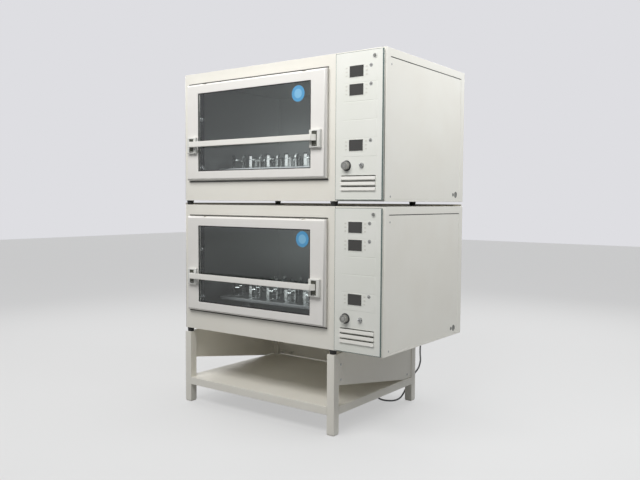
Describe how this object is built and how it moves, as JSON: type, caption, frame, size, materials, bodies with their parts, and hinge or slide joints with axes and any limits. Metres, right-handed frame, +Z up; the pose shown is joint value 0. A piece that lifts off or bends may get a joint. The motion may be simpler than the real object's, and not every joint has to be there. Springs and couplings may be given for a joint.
{
  "type": "shaking incubator",
  "caption": "Stacked floor-standing shaking incubators on a low shelf stand, with window doors, pull bars, orbital flask platforms and control columns.",
  "frame": {"origin": "on the floor, below the middle of the box that holds the stack without its power lead", "axes": "+Z up, +Y to the rear, the doors and controls face -Y, +X to the right with the control columns"},
  "size_m": [1.1, 0.8796, 1.541],
  "materials": {
    "cream_paint": "satin powder coat",
    "door_white": "satin moulded door frame",
    "handle_white": "satin powder coat",
    "panel_white": "satin powder coat",
    "latch_metal": "cast and painted grey",
    "smoked_glass": "smoked tempered glass",
    "stainless_steel": "brushed",
    "platform_aluminium": "anodised",
    "dial_metal": "turned, satin",
    "chrome": "polished",
    "dark_plastic": "moulded",
    "black_rubber": "moulded rubber",
    "cord_grey": "PVC sheath"
  },
  "bodies": {
    "frame": {"stand_side_frame_left": "cream_paint", "stand_side_frame_right": "cream_paint", "stand_back_plate": "cream_paint", "stand_shelf": "cream_paint", "inlet_connector": "black_rubber", "power_cord": "cord_grey", "cord_coil": "cord_grey", "power_plug": "black_rubber", "lower_cabinet": "cream_paint", "lower_rear_cover": "cream_paint", "lower_side_cover": "cream_paint", "lower_chamber_liner": "stainless_steel", "lower_door_gasket": "black_rubber", "lower_drive_belt": "black_rubber", "lower_drive_motor": "dark_plastic", "lower_control_panel": "panel_white", "lower_foot_front_left": "black_rubber", "lower_foot_front_right": "black_rubber", "lower_foot_rear_left": "black_rubber", "lower_foot_rear_right": "black_rubber", "upper_cabinet": "cream_paint", "upper_rear_cover": "cream_paint", "upper_side_cover": "cream_paint", "upper_chamber_liner": "stainless_steel", "upper_door_gasket": "black_rubber", "upper_drive_belt": "black_rubber", "upper_drive_motor": "dark_plastic", "upper_control_panel": "panel_white", "upper_foot_front_left": "black_rubber", "upper_foot_front_right": "black_rubber", "upper_foot_rear_left": "black_rubber", "upper_foot_rear_right": "black_rubber"},
    "lower_fan": {"lower_fan_rotor": "dark_plastic"},
    "lower_door": {"lower_door_frame": "door_white", "lower_door_glass": "smoked_glass", "lower_latch_block_left": "latch_metal", "lower_latch_block_right": "latch_metal"},
    "lower_handle": {"lower_handle_bar": "handle_white"},
    "lower_drive_crank": {"lower_drive_crank": "stainless_steel"},
    "lower_idler_left": {"lower_idler_crank_left": "stainless_steel"},
    "lower_idler_right": {"lower_idler_crank_right": "stainless_steel"},
    "lower_motor_pulley": {"lower_motor_pulley": "stainless_steel"},
    "lower_platform": {"lower_platform": "platform_aluminium"},
    "lower_dial": {"lower_speed_dial": "dial_metal"},
    "lower_toggle": {"lower_toggle_lever": "chrome"},
    "lower_light_button": {"lower_light_button": "dark_plastic"},
    "upper_fan": {"upper_fan_rotor": "dark_plastic"},
    "upper_door": {"upper_door_frame": "door_white", "upper_door_glass": "smoked_glass", "upper_latch_block_left": "latch_metal", "upper_latch_block_right": "latch_metal"},
    "upper_handle": {"upper_handle_bar": "handle_white"},
    "upper_drive_crank": {"upper_drive_crank": "stainless_steel"},
    "upper_idler_left": {"upper_idler_crank_left": "stainless_steel"},
    "upper_idler_right": {"upper_idler_crank_right": "stainless_steel"},
    "upper_motor_pulley": {"upper_motor_pulley": "stainless_steel"},
    "upper_platform": {"upper_platform": "platform_aluminium"},
    "upper_dial": {"upper_speed_dial": "dial_metal"},
    "upper_toggle": {"upper_toggle_lever": "chrome"},
    "upper_light_button": {"upper_light_button": "dark_plastic"}
  },
  "joints": [
    {"name": "lower_door_hinge", "type": "hinge", "parent": "frame", "child": "lower_door", "pos_m": [-0.115, -0.3265, 0.877], "axis": [-1, 0, 0], "range_deg": [0, 90]},
    {"name": "lower_handle_pull", "type": "hinge", "parent": "lower_door", "child": "lower_handle", "pos_m": [-0.115, -0.3435, 0.583], "axis": [1, 0, 0], "range_deg": [0, 20], "stiffness_Nm_per_rad": 2, "springref_deg": -22.92},
    {"name": "lower_crank_spin", "type": "hinge", "parent": "frame", "child": "lower_drive_crank", "pos_m": [-0.114, 0.1355, 0.4533], "axis": [0, 0, 1], "continuous": true},
    {"name": "lower_platform_orbit", "type": "hinge", "parent": "lower_drive_crank", "child": "lower_platform", "pos_m": [-0.1015, 0.1355, 0.4693], "axis": [0, 0, 1], "continuous": true},
    {"name": "lower_idler_left_spin", "type": "hinge", "parent": "frame", "child": "lower_idler_left", "pos_m": [-0.334, -0.1095, 0.4533], "axis": [0, 0, 1], "continuous": true},
    {"name": "lower_idler_right_spin", "type": "hinge", "parent": "frame", "child": "lower_idler_right", "pos_m": [0.106, -0.1095, 0.4533], "axis": [0, 0, 1], "continuous": true},
    {"name": "lower_motor_spin", "type": "hinge", "parent": "frame", "child": "lower_motor_pulley", "pos_m": [0.1, 0.1355, 0.4533], "axis": [0, 0, 1], "continuous": true},
    {"name": "lower_fan_spin", "type": "hinge", "parent": "frame", "child": "lower_fan", "pos_m": [0.14, 0.3252, 0.785], "axis": [0, 1, 0], "continuous": true},
    {"name": "lower_dial_turn", "type": "hinge", "parent": "frame", "child": "lower_dial", "pos_m": [0.381, -0.3268, 0.494], "axis": [0, -1, 0], "range_deg": [-150, 150]},
    {"name": "lower_toggle_flip", "type": "hinge", "parent": "frame", "child": "lower_toggle", "pos_m": [0.451, -0.3285, 0.494], "axis": [1, 0, 0], "range_deg": [0, 26]},
    {"name": "lower_light_button_press", "type": "slide", "parent": "frame", "child": "lower_light_button", "axis": [0, 1, 0], "range_m": [0, 0.0025], "stiffness_N_per_m": 300, "springref_m": -0.002},
    {"name": "upper_door_hinge", "type": "hinge", "parent": "frame", "child": "upper_door", "pos_m": [-0.115, -0.3265, 1.48], "axis": [-1, 0, 0], "range_deg": [0, 90]},
    {"name": "upper_handle_pull", "type": "hinge", "parent": "upper_door", "child": "upper_handle", "pos_m": [-0.115, -0.3435, 1.186], "axis": [1, 0, 0], "range_deg": [0, 20], "stiffness_Nm_per_rad": 2, "springref_deg": -22.92},
    {"name": "upper_crank_spin", "type": "hinge", "parent": "frame", "child": "upper_drive_crank", "pos_m": [-0.114, 0.1355, 1.0563], "axis": [0, 0, 1], "continuous": true},
    {"name": "upper_platform_orbit", "type": "hinge", "parent": "upper_drive_crank", "child": "upper_platform", "pos_m": [-0.1015, 0.1355, 1.0723], "axis": [0, 0, 1], "continuous": true},
    {"name": "upper_idler_left_spin", "type": "hinge", "parent": "frame", "child": "upper_idler_left", "pos_m": [-0.334, -0.1095, 1.0563], "axis": [0, 0, 1], "continuous": true},
    {"name": "upper_idler_right_spin", "type": "hinge", "parent": "frame", "child": "upper_idler_right", "pos_m": [0.106, -0.1095, 1.0563], "axis": [0, 0, 1], "continuous": true},
    {"name": "upper_motor_spin", "type": "hinge", "parent": "frame", "child": "upper_motor_pulley", "pos_m": [0.1, 0.1355, 1.0563], "axis": [0, 0, 1], "continuous": true},
    {"name": "upper_fan_spin", "type": "hinge", "parent": "frame", "child": "upper_fan", "pos_m": [0.14, 0.3252, 1.388], "axis": [0, 1, 0], "continuous": true},
    {"name": "upper_dial_turn", "type": "hinge", "parent": "frame", "child": "upper_dial", "pos_m": [0.381, -0.3268, 1.097], "axis": [0, -1, 0], "range_deg": [-150, 150]},
    {"name": "upper_toggle_flip", "type": "hinge", "parent": "frame", "child": "upper_toggle", "pos_m": [0.451, -0.3285, 1.097], "axis": [1, 0, 0], "range_deg": [0, 26]},
    {"name": "upper_light_button_press", "type": "slide", "parent": "frame", "child": "upper_light_button", "axis": [0, 1, 0], "range_m": [0, 0.0025], "stiffness_N_per_m": 300, "springref_m": -0.002}
  ],
  "couplings": [
    {"joint": "lower_idler_left_spin", "follows": "lower_crank_spin", "ratio": 1},
    {"joint": "lower_idler_right_spin", "follows": "lower_crank_spin", "ratio": 1},
    {"joint": "lower_platform_orbit", "follows": "lower_crank_spin", "ratio": -1},
    {"joint": "lower_motor_spin", "follows": "lower_crank_spin", "ratio": 2.86},
    {"joint": "upper_idler_left_spin", "follows": "upper_crank_spin", "ratio": 1},
    {"joint": "upper_idler_right_spin", "follows": "upper_crank_spin", "ratio": 1},
    {"joint": "upper_platform_orbit", "follows": "upper_crank_spin", "ratio": -1},
    {"joint": "upper_motor_spin", "follows": "upper_crank_spin", "ratio": 2.86}
  ]
}
